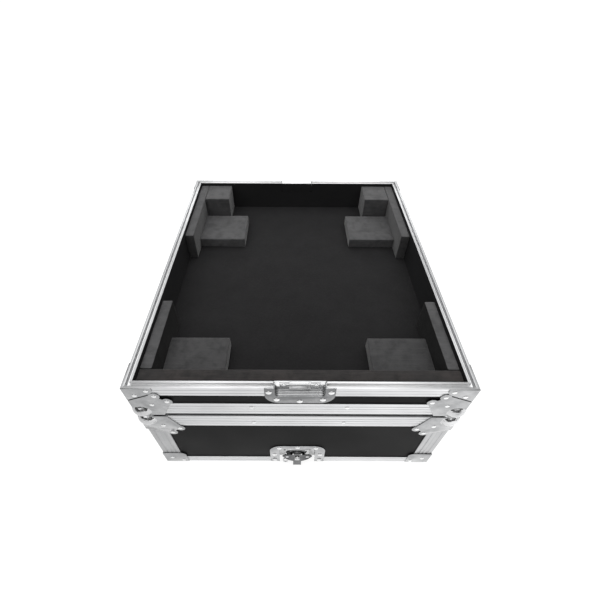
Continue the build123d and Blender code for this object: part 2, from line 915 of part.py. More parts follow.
with BuildPart() as saddles:
    for side in HANDLE_SIDES:
        across = cross_plane(handle_plane(side), bail_pivot_up, -bail_inset)
        for sign in (1, -1):
            with BuildSketch(across.offset(sign * saddle_start)):
                foot = handle_recess_depth - bail_inset
                with Locations((0, -(foot - saddle_half) / 2)):
                    Rectangle(2 * saddle_half, foot + saddle_half)
                Circle(bail_radius + bail_clearance, mode=Mode.SUBTRACT)
            extrude(amount=sign * saddle_width)
keep(saddles, "handle_saddles")


def lined_walls(low, high, cuts):
    """Felt on the four walls. The front and rear sheets cover the ends of the side ones."""
    with BuildPart() as felt:
        for side in SIDES:
            half = SIDES[side][2] / 2 - rim_width
            if side in HANDLE_SIDES:
                half -= lining_thickness
            with BuildSketch(wall_plane(side, (low + high) / 2).offset(-rim_width)):
                Rectangle(2 * half, high - low)
            extrude(amount=-lining_thickness)
        for cut in cuts.values():
            add(cut, mode=Mode.SUBTRACT)
    return felt


def felt_sheet(low):
    """Felt on the tray's floor or the lid's ceiling."""
    with BuildPart() as felt:
        with BuildSketch(Plane.XY.offset(low)):
            Rectangle(case_width - 2 * rim_width, case_depth - 2 * rim_width)
        extrude(amount=lining_thickness)
    return felt


keep(felt_sheet(tray_floor_top), "tray_floor_lining")
keep(lined_walls(tray_bed, tray_lip - felt_drop, keeper_cuts), "tray_wall_lining")
with BuildPart() as lid_felt:
    add(felt_sheet(lid_ceiling).part)
    add(lined_walls(lid_lip + felt_drop, lid_ceiling, latch_cuts).part)
keep(lid_felt, "lid_lining")


def foam_pair(x_far, x_near, y_low, y_high, z_low, z_high):
    """Two mirrored foam blocks, left and right."""
    with BuildPart() as pair:
        for sign in (1, -1):
            middle = (sign * (x_far + x_near) / 2, (y_low + y_high) / 2, (z_low + z_high) / 2)
            with Locations(middle):
                Box(x_far - x_near, y_high - y_low, z_high - z_low)
    return pair


# Foam in the tray, from the front
strip_back = -inner_y + front_strip
side_face = inner_x - side_foam
with BuildPart() as strip:
    with Locations((0, (strip_back - inner_y) / 2, (tray_bed + foam_top) / 2)):
        Box(2 * inner_x, front_strip, foam_top - tray_bed)
keep(strip, "front_foam_strip")

front_side_end = strip_back + front_side_length
front_pads = (side_face, side_face - pad_width, strip_back, strip_back + front_pad_length)
rear_block_face = inner_y - rear_block_length
rear_pad_end = rear_block_face - rear_pad_gap
rear_pads = (side_face, side_face - pad_width, rear_pad_end - rear_pad_length, rear_pad_end)
rear_blocks = (side_face, side_face - rear_block_width, rear_block_face, inner_y)
pad_top = tray_bed + pad_thickness
keep(foam_pair(inner_x, side_face, strip_back, front_side_end, tray_bed, foam_top), "front_side_foam")
rear_side_start = inner_y - rear_side_length
keep(foam_pair(inner_x, side_face, rear_side_start, inner_y, tray_bed, foam_top), "rear_side_foam")
keep(foam_pair(*rear_blocks, tray_bed, foam_top), "rear_foam_blocks")
keep(foam_pair(*front_pads, tray_bed, pad_top), "front_foam_pads")
keep(foam_pair(*rear_pads, tray_bed, pad_top), "rear_foam_pads")

# Foam under the top of the lid
with BuildPart() as hold_downs:
    for sx, sy in CORNERS:
        x = sx * (inner_x - lid_foam_width / 2)
        y = sy * (inner_y - lid_foam_length / 2)
        with Locations((x, y, lid_ceiling - lid_foam_thickness / 2)):
            Box(lid_foam_width, lid_foam_length, lid_foam_thickness)
keep(hold_downs, "lid_foam_blocks")
print(len(written), "nodes, case height", tray_lip)
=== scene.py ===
"""Looks of the mixer flight case: cut foam, felt, laminate, aluminium edging and plated fittings."""

import math

import bmesh
import bpy
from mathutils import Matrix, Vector, noise


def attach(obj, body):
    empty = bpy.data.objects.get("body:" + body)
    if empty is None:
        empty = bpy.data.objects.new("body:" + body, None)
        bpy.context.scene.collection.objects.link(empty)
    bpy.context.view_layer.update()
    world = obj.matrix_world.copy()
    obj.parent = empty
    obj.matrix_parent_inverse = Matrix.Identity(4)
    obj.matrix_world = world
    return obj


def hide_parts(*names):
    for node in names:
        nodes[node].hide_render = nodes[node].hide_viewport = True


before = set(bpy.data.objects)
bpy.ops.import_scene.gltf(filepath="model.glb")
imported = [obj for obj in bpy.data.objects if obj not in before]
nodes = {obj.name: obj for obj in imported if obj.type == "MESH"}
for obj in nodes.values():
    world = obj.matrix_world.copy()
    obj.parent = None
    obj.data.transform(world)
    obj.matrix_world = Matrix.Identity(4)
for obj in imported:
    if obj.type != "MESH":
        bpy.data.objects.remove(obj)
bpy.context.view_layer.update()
SIDES = ("front", "rear", "left", "right")
MM = 0.001

# Outside of the edging, in mm from the middle of the case
HALF_WIDTH = 230.0
HALF_DEPTH = 269.0

# Middles of the balls on the corners, in mm, and how far from there a ball reaches
BALL_ACROSS = 220.3
BALL_ALONG = 259.3
BALL_HEIGHT = {"tray": 196.7, "lid": 169.3}
BALL_REACH = 18.5

# Groove of a tray rim: the height it lies above and its two sides, in mm in from the outside
GROOVE_FOOT = 250.5
GROOVE_START = 3.3
GROOVE_END = 8.2

# Keeper dish: limits of its back and its recess, in mm from the middle of the case
DISH_BACK = 257.1
DISH_RECESS = 268.8

# Points of a CAD face this near in mm to those of the next one are the same
SAME_POINT = 0.002

# Camera at the photograph's place
camera_data = bpy.data.cameras.new("camera")
camera_data.sensor_width = 36.0
camera_data.lens = 21.58
camera_data.shift_x = 0.01575
camera_data.clip_start = 0.01
camera_data.clip_end = 100.0
camera = bpy.data.objects.new("camera", camera_data)
bpy.context.scene.collection.objects.link(camera)
camera.rotation_mode = "XYZ"
camera.location = (-0.01311, -0.50507, 0.67002)
camera.rotation_euler = (math.radians(43.663), math.radians(-0.197), math.radians(0.187))
bpy.context.scene.camera = camera
bpy.context.scene.view_settings.view_transform = "Standard"


# Materials
class Wiring:
    """Short ways to add nodes to a shader tree."""

    def __init__(self, tree):
        self.tree = tree

    def add(self, kind, **settings):
        node = self.tree.nodes.new(kind)
        for key, value in settings.items():
            setattr(node, key, value)
        return node

    def join(self, source, target):
        self.tree.links.new(source, target)

    def value(self, operation, first, second=0.0):
        """A math node. Each of its inputs is a number or another node's output."""
        node = self.add("ShaderNodeMath", operation=operation)
        for socket, given in zip(node.inputs, (first, second)):
            if isinstance(given, (int, float)):
                socket.default_value = given
            else:
                self.join(given, socket)
        return node.outputs[0]

    def ramp(self, source, low, high, start=0.0, end=1.0):
        """Maps a value from low..high to start..end, clamped."""
        node = self.add("ShaderNodeMapRange")
        self.join(source, node.inputs["Value"])
        for name, number in zip(("From Min", "From Max", "To Min", "To Max"), (low, high, start, end)):
            node.inputs[name].default_value = number
        return node.outputs["Result"]


class Finish(Wiring):
    """A material under construction: a principled shader on object coordinates."""

    def __init__(self, name):
        self.material = bpy.data.materials.new(name)
        self.material.use_nodes = True
        super().__init__(self.material.node_tree)
        self.shader = self.tree.nodes["Principled BSDF"]
        self.coordinates = self.add("ShaderNodeTexCoord").outputs["Object"]

    def stretched(self, scale):
        """Object coordinates in metres times a scale for each axis."""
        node = self.add("ShaderNodeVectorMath", operation="MULTIPLY")
        self.join(self.coordinates, node.inputs[0])
        node.inputs[1].default_value = scale
        return node.outputs[0]

    def grain(self, scale, detail=3.0, roughness=0.5):
        """Noise from 0 to 1 with a scale per metre, one number or one for each axis."""
        node = self.add("ShaderNodeTexNoise")
        node.inputs["Detail"].default_value = detail
        node.inputs["Roughness"].default_value = roughness
        if isinstance(scale, (int, float)):
            node.inputs["Scale"].default_value = scale
            self.join(self.coordinates, node.inputs["Vector"])
        else:
            node.inputs["Scale"].default_value = 1.0
            self.join(self.stretched(scale), node.inputs["Vector"])
        return node.outputs["Fac"]

    def cells(self, scale):
        """Distance from the middle of the nearest cell, with a scale per metre."""
        node = self.add("ShaderNodeTexVoronoi")
        node.inputs["Scale"].default_value = scale
        self.join(self.coordinates, node.inputs["Vector"])
        return node.outputs["Distance"]

    def blend(self, share, first, second):
        """A colour between two. Each is three numbers or a node's output."""
        node = self.add("ShaderNodeMix", data_type="RGBA")
        self.join(share, node.inputs["Factor"])
        for socket, given in ((node.inputs[6], first), (node.inputs[7], second)):
            if isinstance(given, tuple):
                socket.default_value = (*given, 1.0)
            else:
                self.join(given, socket)
        return node.outputs[2]

    def relief(self, height, distance, strength=1.0, under=None):
        """A bump from a height, over another bump where one is given."""
        node = self.add("ShaderNodeBump")
        node.inputs["Strength"].default_value = strength
        node.inputs["Distance"].default_value = distance
        self.join(height, node.inputs["Height"])
        if under is not None:
            self.join(under, node.inputs["Normal"])
        self.join(node.outputs["Normal"], self.shader.inputs["Normal"])
        return node.outputs["Normal"]

    def colour(self, source):
        self.join(source, self.shader.inputs["Base Color"])

    def rough(self, source):
        self.join(source, self.shader.inputs["Roughness"])


def extruded_aluminium(name, lengthwise, dark, light):
    """Satin extrusion, with fine drawn lines along an axis, dull clouds and a few marks."""
    finish = Finish(name)
    finish.shader.inputs["Metallic"].default_value = 1.0
    fine = {"x": (6.0, 2200.0, 2200.0), "y": (2200.0, 6.0, 2200.0), "z": (2200.0, 2200.0, 6.0)}
    wide = {"x": (3.0, 420.0, 420.0), "y": (420.0, 3.0, 420.0), "z": (420.0, 420.0, 3.0)}
    lines = finish.grain(fine[lengthwise], detail=2.0)
    bands = finish.grain(wide[lengthwise], detail=2.0)
    cloud = finish.grain(14.0, detail=4.0)
    marks = finish.ramp(finish.grain((95.0, 95.0, 700.0), detail=5.0, roughness=0.7), 0.68, 0.74)
    base = finish.blend(finish.ramp(bands, 0.3, 0.7), dark, light)
    base = finish.blend(finish.ramp(cloud, 0.35, 0.75, 0.0, 0.5), base, dark)
    base = finish.blend(finish.value("MULTIPLY", marks, 0.35), base, (0.42, 0.42, 0.43))
    finish.colour(base)
    dull = finish.ramp(cloud, 0.3, 0.7, 0.24, 0.40)
    finish.rough(finish.value("ADD", dull, finish.value("MULTIPLY", lines, 0.12)))
    finish.relief(lines, 0.00004, 0.35)
    return finish.material


def plated(name, base_low, base_high, rough_low, rough_high, dimple, dimple_scale=70.0):
    """Bright plating over pressed steel, with stains, fine pits and rubbed places."""
    finish = Finish(name)
    finish.shader.inputs["Metallic"].default_value = 1.0
    cloud = finish.grain(55.0, detail=5.0, roughness=0.6)
    fine = finish.grain(900.0, detail=3.0)
    stains = finish.ramp(finish.grain(150.0, detail=6.0, roughness=0.65), 0.55, 0.72)
    base = finish.blend(finish.ramp(cloud, 0.3, 0.7), base_low, base_high)
    base = finish.blend(finish.value("MULTIPLY", stains, 0.3), base, (0.36, 0.36, 0.37))
    finish.colour(base)
    finish.rough(finish.ramp(cloud, 0.3, 0.72, rough_low, rough_high))
    wavy = finish.relief(finish.grain(dimple_scale, detail=2.0), dimple, 1.0)
    finish.relief(fine, 0.00003, 0.3, wavy)
    return finish.material


def ribbed_plate():
    """Grey plating of the keeper's floor, with fine ribs 2.6 mm apart along the wall, and light and dark
    stripes painted along them as their highlight and shade.
    """
    finish = Finish("ribbed_zinc")
    finish.shader.inputs["Metallic"].default_value = 1.0
    split = finish.add("ShaderNodeSeparateXYZ")
    finish.join(finish.coordinates, split.inputs["Vector"])
    radians_per_metre = 2400.0
    wave = finish.value("SINE", finish.value("MULTIPLY", split.outputs["Y"], radians_per_metre))
    # Stripes that follow the ribs' wave: painted highlight and shade.
    rib_light_and_shade = finish.ramp(wave, -0.4, 0.6)
    cloud = finish.grain(90.0, detail=4.0)
    base = finish.blend(rib_light_and_shade, (0.20, 0.202, 0.206), (0.66, 0.664, 0.67))
    base = finish.blend(finish.ramp(cloud, 0.45, 0.75, 0.0, 0.4), base, (0.36, 0.363, 0.37))
    finish.colour(base)
    finish.rough(finish.ramp(cloud, 0.3, 0.7, 0.16, 0.3))
    finish.relief(wave, 0.0003, 0.5)
    return finish.material


def black_laminate():
    """Black phenolic face of the plywood, with the fine pebble of its press plate."""
    finish = Finish("black_laminate")
    pebble = finish.cells(900.0)
    fine = finish.grain(2600.0, detail=2.0)
    cloud = finish.grain(9.0, detail=4.0)
    scuffs = finish.ramp(finish.grain((60.0, 60.0, 900.0), detail=5.0, roughness=0.7), 0.70, 0.78)
    base = finish.blend(finish.ramp(cloud, 0.3, 0.7), (0.006, 0.006, 0.0062), (0.009, 0.009, 0.0092))
    base = finish.blend(finish.value("MULTIPLY", scuffs, 0.35), base, (0.06, 0.06, 0.06))
    finish.colour(base)
    finish.rough(finish.ramp(cloud, 0.3, 0.7, 0.46, 0.58))
    finish.shader.inputs["Specular IOR Level"].default_value = 0.05
    finish.relief(finish.value("ADD", pebble, finish.value("MULTIPLY", fine, 0.4)), 0.00012, 0.5)
    return finish.material


def black_felt(name, depth):
    """Needled black felt: matted fibres, lint and a soft sheen. A depth under 1 darkens it all as painted
    shade.
    """
    finish = Finish(name)
    cloud = finish.grain(26.0, detail=5.0, roughness=0.6)
    tufts = finish.grain(420.0, detail=5.0, roughness=0.7)
    fibres = finish.grain(1900.0, detail=3.0, roughness=0.7)
    lint = finish.ramp(finish.grain(1300.0, detail=2.0), 0.77, 0.82)
    dark = tuple(depth * c for c in (0.0075, 0.0072, 0.0074))
    middle = tuple(depth * c for c in (0.0125, 0.0122, 0.0124))
    light = tuple(depth * c for c in (0.018, 0.0176, 0.018))
    base = finish.blend(finish.ramp(cloud, 0.3, 0.7), dark, middle)
    base = finish.blend(finish.ramp(tufts, 0.3, 0.75, 0.0, 0.65), base, light)
    base = finish.blend(finish.value("MULTIPLY", lint, 0.35), base, (0.07, 0.07, 0.07))
    finish.colour(base)
    finish.shader.inputs["Roughness"].default_value = 1.0
    finish.shader.inputs["Specular IOR Level"].default_value = 0.1
    finish.shader.inputs["Sheen Weight"].default_value = 0.12 * depth
    finish.shader.inputs["Sheen Roughness"].default_value = 0.6
    finish.shader.inputs["Sheen Tint"].default_value = (0.75, 0.75, 0.78, 1.0)
    soft = finish.relief(tufts, 0.0006, 0.8)
    finish.relief(fibres, 0.0003, 0.7, soft)
    return finish.material


def cut_foam(name, low, high, dust, gloss=1.0):
    """Sawn closed-cell foam: blotches, small cells and faint saw lines with dust on them."""
    finish = Finish(name)
    blotch = tuple(0.6 * c for c in low)
    pit_shade = tuple(0.55 * c for c in low)
    cells = finish.cells(1400.0)
    large = finish.cells(520.0)
    cloud = finish.grain(16.0, detail=5.0, roughness=0.6)
    saw = finish.grain((30.0, 340.0, 340.0), detail=3.0)
    base = finish.blend(finish.ramp(cloud, 0.3, 0.7), low, high)
    blotches = finish.grain(64.0, detail=5.0, roughness=0.62)
    base = finish.blend(finish.ramp(blotches, 0.42, 0.64, 0.0, 0.8), base, blotch)
    # Darker cell middles, where the bump makes pits: painted shade.
    base = finish.blend(finish.ramp(cells, 0.05, 0.6, 0.4, 0.0), base, pit_shade)
    base = finish.blend(finish.ramp(saw, 0.5, 0.8, 0.0, 0.4), base, dust)
    finish.colour(base)
    finish.rough(finish.ramp(cloud, 0.3, 0.7, 0.72, 0.86))
    finish.shader.inputs["Specular IOR Level"].default_value = 0.4 * gloss
    finish.shader.inputs["Sheen Weight"].default_value = 0.25 * gloss
    finish.shader.inputs["Sheen Roughness"].default_value = 0.5
    pores = finish.relief(cells, 0.0003, 0.6)
    pores = finish.relief(large, 0.0002, 0.35, pores)
    finish.relief(saw, 0.0003, 0.5, pores)
    return finish.material


def moulded_rubber():
    """Matt black rubber of the handle grips."""
    finish = Finish("moulded_rubber")
    cloud = finish.grain(40.0, detail=4.0)
    fine = finish.grain(1600.0, detail=3.0)
    finish.colour(finish.blend(finish.ramp(cloud, 0.3, 0.7), (0.012, 0.012, 0.012), (0.024, 0.024, 0.024)))
    finish.rough(finish.ramp(cloud, 0.3, 0.7, 0.5, 0.7))
    finish.relief(fine, 0.0001, 0.4)
    return finish.material


# One aluminium in three tones: the lengthwise and upright copies are darker as painted shade.
aluminium = {
    "x": extruded_aluminium("aluminium_across", "x", (0.56, 0.565, 0.572), (0.73, 0.732, 0.738)),
    "y": extruded_aluminium("aluminium_lengthwise_shaded", "y", (0.40, 0.403, 0.408), (0.54, 0.543, 0.548)),
    "z": extruded_aluminium("aluminium_upright_shaded", "z", (0.36, 0.363, 0.368), (0.47, 0.472, 0.476)),
}
# Lighter copies of the aluminium for the groove of a tray rim: painted light.
lit_groove_aluminium = {
    "x": extruded_aluminium("groove_across_painted_light", "x", (0.82, 0.82, 0.825), (0.92, 0.92, 0.92)),
    "y": extruded_aluminium("groove_lengthwise_painted_light", "y", (0.64, 0.642, 0.647), (0.76, 0.762, 0.766)),
}
laminate = black_laminate()
felt = black_felt("black_felt", 1.0)
# The tray's side walls take a darker copy of the same felt: painted shade.
painted_shade_felt = black_felt("painted_shade_side_wall_felt", 0.4)
rubber = moulded_rubber()
ribbed_zinc = ribbed_plate()

# Foams, each with its dark tone, its light tone, its dust and how much it shines
grey_foam = cut_foam("grey_foam", (0.058, 0.058, 0.060), (0.086, 0.085, 0.087), (0.105, 0.103, 0.103))
# The pad foam is a darker copy of the grey foam: painted shade on the front pads, the sides of the rear side
# blocks and the lid blocks.
shaded_pad_foam = cut_foam("shaded_pad_foam", (0.036, 0.036, 0.037), (0.056, 0.055, 0.056), (0.07, 0.068, 0.068))
# The front strip's foam has its own brownish tone, and is made darker still as painted shade.
shaded_brown_foam = cut_foam("shaded_brown_foam", (0.019, 0.018, 0.018), (0.044, 0.037, 0.035), (0.056, 0.047, 0.045), 0.7)
# A very dark copy of the grey foam for the sides of the front side blocks: painted shade.
side_shade_foam = cut_foam(
    "side_shade_foam", (0.009, 0.009, 0.009), (0.016, 0.0155, 0.0155), (0.024, 0.023, 0.023), 0.2
)

# Platings, each with its dark and light tones, its least and most roughness and the depth of its waves
bright_zinc = plated("bright_zinc", (0.25, 0.253, 0.257), (0.40, 0.403, 0.408), 0.06, 0.18, 0.0004)
latch_zinc = plated("latch_zinc", (0.27, 0.273, 0.278), (0.44, 0.444, 0.45), 0.10, 0.24, 0.0004)
keeper_zinc = plated("keeper_zinc", (0.13, 0.132, 0.135), (0.22, 0.223, 0.228), 0.12, 0.26, 0.0004)
polished_zinc = plated("polished_zinc", (0.64, 0.645, 0.65), (0.86, 0.862, 0.866), 0.10, 0.26, 0.0003)
nickel = plated("nickel", (0.46, 0.465, 0.47), (0.66, 0.662, 0.665), 0.05, 0.14, 0.0003)
# A darker copy of the nickel for the latch's claw and wing: painted shade.
shaded_nickel = plated("shaded_nickel", (0.09, 0.091, 0.094), (0.19, 0.191, 0.194), 0.05, 0.16, 0.0004)
rivet_steel = plated("rivet_steel", (0.66, 0.665, 0.67), (0.84, 0.84, 0.84), 0.14, 0.26, 0.0002)
# A glossier copy of the zinc for the balls of the corner pressings; its lighter tone is painted highlight.
ball_highlight_plating = plated("ball_highlight_plating", (0.38, 0.382, 0.387), (0.62, 0.622, 0.627), 0.04, 0.09, 0.0022, 100.0)


def dress(piece, *materials):
    """Gives a piece its materials in place of those it has."""
    piece.data.materials.clear()
    for material in materials:
        piece.data.materials.append(material)


def finished(name, mesh, body, slot, *replaced):
    """Links a mesh as a piece that rides on a body and stands for CAD nodes."""
    piece = bpy.data.objects.new(name, mesh)
    bpy.context.scene.collection.objects.link(piece)
    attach(piece, body)
    if replaced:
        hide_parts(*replaced)
    return piece


def baked(piece):
    """The evaluated mesh of an object with modifiers, as a plain mesh."""
    graph = bpy.context.evaluated_depsgraph_get()
    graph.update()
    return bpy.data.meshes.new_from_object(piece.evaluated_get(graph))


def smooth_by_angle(mesh, degrees):
    """Makes faces smooth, with sharp edges where they meet at more than an angle."""
    mesh.polygons.foreach_set("use_smooth", [True] * len(mesh.polygons))
    mesh.set_sharp_from_angle(angle=math.radians(degrees))


# Metal pieces with broken edges, each edge rounded to one of these widths in mm
RIM_EDGE = 0.35
ANGLE_EDGE = 0.3
BRACE_EDGE = 0.35
DISH_EDGE = 0.45
STRIKE_EDGE = 0.25
LATCH_EDGE = 0.22
FLAT_DEGREES = 1
ROUNDED_DEGREES = 40


def welded(node):
    """The mesh of a CAD node as a draft, with the points of its faces joined."""
    draft = bmesh.new()
    draft.from_mesh(nodes[node].data)
    bmesh.ops.remove_doubles(draft, verts=draft.verts, dist=SAME_POINT * MM)
    return draft


def broken_edges(node, width, material, body, slot, choice=None):
    """A copy of a metal CAD node with its sharp edges rounded to a width in mm, in its place.

    material is one or several of them, and choice gives the number of the one for the
    middle of a face. It first keeps flat faces of different materials from being merged.
    Then it numbers the rounded faces, because dress takes their numbers away.
    """
    draft = welded(node)
    for face in draft.faces:
        face.material_index = choice(face.calc_center_median()) if choice else 0
    bmesh.ops.dissolve_limit(
        draft,
        angle_limit=math.radians(FLAT_DEGREES),
        verts=draft.verts,
        edges=draft.edges,
        delimit={"MATERIAL"},
    )
    mesh = bpy.data.meshes.new(node + "_rounded")
    draft.to_mesh(mesh)
    draft.free()
    holder = bpy.data.objects.new("holder", mesh)
    bpy.context.scene.collection.objects.link(holder)
    bevel = holder.modifiers.new("edges", "BEVEL")
    bevel.width = width * MM
    bevel.segments = 2
    bevel.limit_method = "ANGLE"
    bevel.angle_limit = math.radians(ROUNDED_DEGREES)
    bevel.use_clamp_overlap = True
    bevel.miter_outer = "MITER_ARC"
    result = baked(holder)
    bpy.data.objects.remove(holder)
    smooth_by_angle(result, 32)
    piece = finished(node + "_finish", result, body, slot, node)
    dress(piece, *(material if isinstance(material, tuple) else (material,)))
    if choice:
        for face in result.polygons:
            face.material_index = choice(face.center)
    return piece


def by_side(centre):
    """1 on the left and right lengths of a ring of edging, 0 on the front and rear ones."""
    return int(abs(centre.x) - HALF_WIDTH * MM > abs(centre.y) - HALF_DEPTH * MM)


def by_groove(piece):
    """Puts the second material, a lighter copy of the aluminium that paints the groove's light, in the
    groove of a tray rim, between its two lips.
    """
    for face in piece.data.polygons:
        x, y, z = (abs(c) for c in face.center)
        depth = min(HALF_WIDTH * MM - x, HALF_DEPTH * MM - y)
        between = GROOVE_START * MM < depth < GROOVE_END * MM
        face.material_index = int(z > GROOVE_FOOT * MM and between)


def by_ball(piece, height):
    """Puts the second material, a lighter copy of the plating that paints the balls' highlights, on the
    balls of the corners, whose middles are at a height in mm.
    """
    middle = Vector((BALL_ACROSS, BALL_ALONG, height)) * MM
    for face in piece.data.polygons:
        centre = Vector([abs(c) for c in face.center])
        face.material_index = int((centre - middle).length < BALL_REACH * MM)


def by_depth(piece):
    """The second material lies behind a dish's flange, the third on its floor, the fourth on its back."""
    for face in piece.data.polygons:
        depth = abs(face.center.y)
        if depth < DISH_BACK * MM:
            face.material_index = 3
        elif depth < DISH_RECESS * MM:
            face.material_index = 2 if face.normal.z > 0.7 else 1


def rims(body):
    """The four lengths of rim of the tray or the lid. Those of the tray have a groove."""
    for side in SIDES:
        axis = "x" if side in ("front", "rear") else "y"
        metals = (aluminium[axis], lit_groove_aluminium[axis])
        rim = broken_edges(f"{body}_{side}_rim", RIM_EDGE, metals, body, "aluminium")
        if body == "tray":
            by_groove(rim)


def corners(body):
    """The upright edging, ball corners and braces of the tray or the lid."""
    broken_edges(f"{body}_corner_edging", ANGLE_EDGE, aluminium["z"], body, "aluminium")
    metals = (bright_zinc, ball_highlight_plating)
    balls = broken_edges(f"{body}_ball_corners", DISH_EDGE, metals, body, "plated_steel")
    by_ball(balls, BALL_HEIGHT[body])
    broken_edges(f"{body}_corner_braces", BRACE_EDGE, bright_zinc, body, "plated_steel")


def ring_edging(node, body):
    """A ring of angle edging, whose side lengths have lines the other way."""
    metals = (aluminium["x"], aluminium["y"])
    broken_edges(node, ANGLE_EDGE, metals, body, "aluminium", choice=by_side)


def latch_and_keeper(side):
    """The dish and moving pieces of a latch, and the keeper that it would hold."""
    broken_edges(f"latch_dish_{side}", DISH_EDGE, latch_zinc, "lid", "plated_steel")
    metals = (keeper_zinc, polished_zinc, ribbed_zinc, felt)
    by_depth(broken_edges(f"keeper_dish_{side}", DISH_EDGE, metals, "tray", "plated_steel"))
    broken_edges(f"keeper_strike_{side}", STRIKE_EDGE, polished_zinc, "tray", "bright_steel")
    for part in ("plate", "claw", "rotor", "wing"):
        # The claw and wing take the darker nickel as painted shade.
        plating = shaded_nickel if part in ("claw", "wing") else nickel
        node = f"latch_{part}_{side}"
        broken_edges(node, LATCH_EDGE, plating, node, "bright_steel")


for body in ("tray", "lid"):
    rims(body)
    corners(body)
ring_edging("tray_bottom_edging", "tray")
ring_edging("lid_top_edging", "lid")
for side in ("front", "rear"):
    latch_and_keeper(side)
for side in ("left", "right"):
    broken_edges(f"handle_dish_{side}", DISH_EDGE, latch_zinc, "lid", "plated_steel")
broken_edges("handle_saddles", BRACE_EDGE, bright_zinc, "lid", "plated_steel")


# Rivet heads
def rivet_tree():
    """Domed heads on points that carry the way each one faces and its reach: radius and height."""
    tree = bpy.data.node_groups.new("rivet_heads", "GeometryNodeTree")
    socket = tree.interface.new_socket
    socket("Geometry", in_out="INPUT", socket_type="NodeSocketGeometry")
    socket("Material", in_out="INPUT", socket_type="NodeSocketMaterial")
    socket("Geometry", in_out="OUTPUT", socket_type="NodeSocketGeometry")
    new = tree.nodes.new
    link = tree.links.new
    start = new("NodeGroupInput")
    end = new("NodeGroupOutput")
    ball = new("GeometryNodeMeshUVSphere")
    ball.inputs["Segments"].default_value = 20
    ball.inputs["Rings"].default_value = 10
    ball.inputs["Radius"].default_value = 1.0
    turn = new("FunctionNodeAlignRotationToVector")
    turn.axis = "Z"
    given = {}
    for name in ("facing", "reach"):
        given[name] = new("GeometryNodeInputNamedAttribute")
        given[name].data_type = "FLOAT_VECTOR"
        given[name].inputs["Name"].default_value = name
    link(given["facing"].outputs["Attribute"], turn.inputs["Vector"])
    place = new("GeometryNodeInstanceOnPoints")
    link(start.outputs["Geometry"], place.inputs["Points"])
    link(ball.outputs["Mesh"], place.inputs["Instance"])
    link(turn.outputs["Rotation"], place.inputs["Rotation"])
    link(given["reach"].outputs["Attribute"], place.inputs["Scale"])
    real = new("GeometryNodeRealizeInstances")
    smooth = new("GeometryNodeSetShadeSmooth")
    paint = new("GeometryNodeSetMaterial")
    link(place.outputs["Instances"], real.inputs["Geometry"])
    link(real.outputs["Geometry"], smooth.inputs["Geometry"])
    link(smooth.outputs["Geometry"], paint.inputs["Geometry"])
    link(start.outputs["Material"], paint.inputs["Material"])
    link(paint.outputs["Geometry"], end.inputs["Geometry"])
    return tree


def islands(node):
    """The separate solids of a CAD node, each a list of its corner points."""
    draft = welded(node)
    seen = set()
    groups = []
    for first in draft.verts:
        if first in seen:
            continue
        seen.add(first)
        group = [first]
        for vertex in group:
            for edge in vertex.link_edges:
                other = edge.other_vert(vertex)
                if other not in seen:
                    seen.add(other)
                    group.append(other)
        groups.append([vertex.co.copy() for vertex in group])
    draft.free()
    groups.sort(key=lambda group: tuple(round(c, 5) for c in sum(group, Vector()) / len(group)))
    return groups


def rivet_seat(corners):
    """Middle of a rivet's foot, the way it faces and its reach, from the rings of its CAD head."""
    middle = sum(corners, Vector()) / len(corners)
    spread = max(corners, key=lambda c: (c - middle).length)
    near = 0.9 * (spread - middle).length
    foot = [c for c in corners if (c - middle).length > near]
    crown = [c for c in corners if (c - middle).length <= near]
    foot_middle = sum(foot, Vector()) / len(foot)
    crown_middle = sum(crown, Vector()) / len(crown)
    out = crown_middle - foot_middle
    radius = max((c - foot_middle).length for c in foot)
    return foot_middle, out.normalized(), (radius, radius, out.length)


def rivet_heads(node, body, tree):
    """The domed heads of a CAD node of rivets, in its place."""
    seats = [rivet_seat(corners) for corners in islands(node)]
    mesh = bpy.data.meshes.new(node + "_seats")
    mesh.from_pydata([seat[0] for seat in seats], [], [])
    for name, column in (("facing", 1), ("reach", 2)):
        given = mesh.attributes.new(name, "FLOAT_VECTOR", "POINT")
        given.data.foreach_set("vector", [c for seat in seats for c in seat[column]])
    holder = bpy.data.objects.new("holder", mesh)
    bpy.context.scene.collection.objects.link(holder)
    modifier = holder.modifiers.new("heads", "NODES")
    modifier.node_group = tree
    for item in tree.interface.items_tree:
        if item.in_out == "INPUT" and item.name == "Material":
            modifier[item.identifier] = rivet_steel
    result = baked(holder)
    bpy.data.objects.remove(holder)
    finished(node + "_domed", result, body, "rivet_steel", node)


heads = rivet_tree()
rivet_heads("tray_rivets", "tray", heads)
rivet_heads("lid_rivets", "lid", heads)


# Foam blocks: sizes in mm, waves of noise to the metre and steps in it for each block and axis
FOAM_CELL = 7.0
FOAM_LEAST_CUT = 0.25
FOAM_WAVE = 0.55
FOAM_SOFT_EDGE = 1.1
WAVES_PER_METRE = 38.0
BLOCK_STEP = 7.3
AXIS_STEP = 11.0


def box_grid(draft, low, high):
    """Adds a box whose faces are grids of cells about 7 mm wide, and gives its points."""
    size = high - low
    counts = [max(2, round(c / (FOAM_CELL * MM))) for c in size]
    grid = {}

    def point(i, j, k):
        key = (i, j, k)
        if key not in grid:
            shares = [n / count for n, count in zip(key, counts)]
            spot = [foot + length * share for foot, length, share in zip(low, size, shares)]
            grid[key] = draft.verts.new(spot)
        return grid[key]

    for axis in range(3):
        first, second = [n for n in range(3) if n != axis]
        for end in (0, counts[axis]):
            for i in range(counts[first]):
                for j in range(counts[second]):
                    ring = []
                    for di, dj in ((0, 0), (1, 0), (1, 1), (0, 1)):
                        key = [0, 0, 0]
                        key[axis] = end
                        key[first] = i + di
                        key[second] = j + dj
                        ring.append(point(*key))
                    draft.faces.new(ring)
    return list(grid.values())


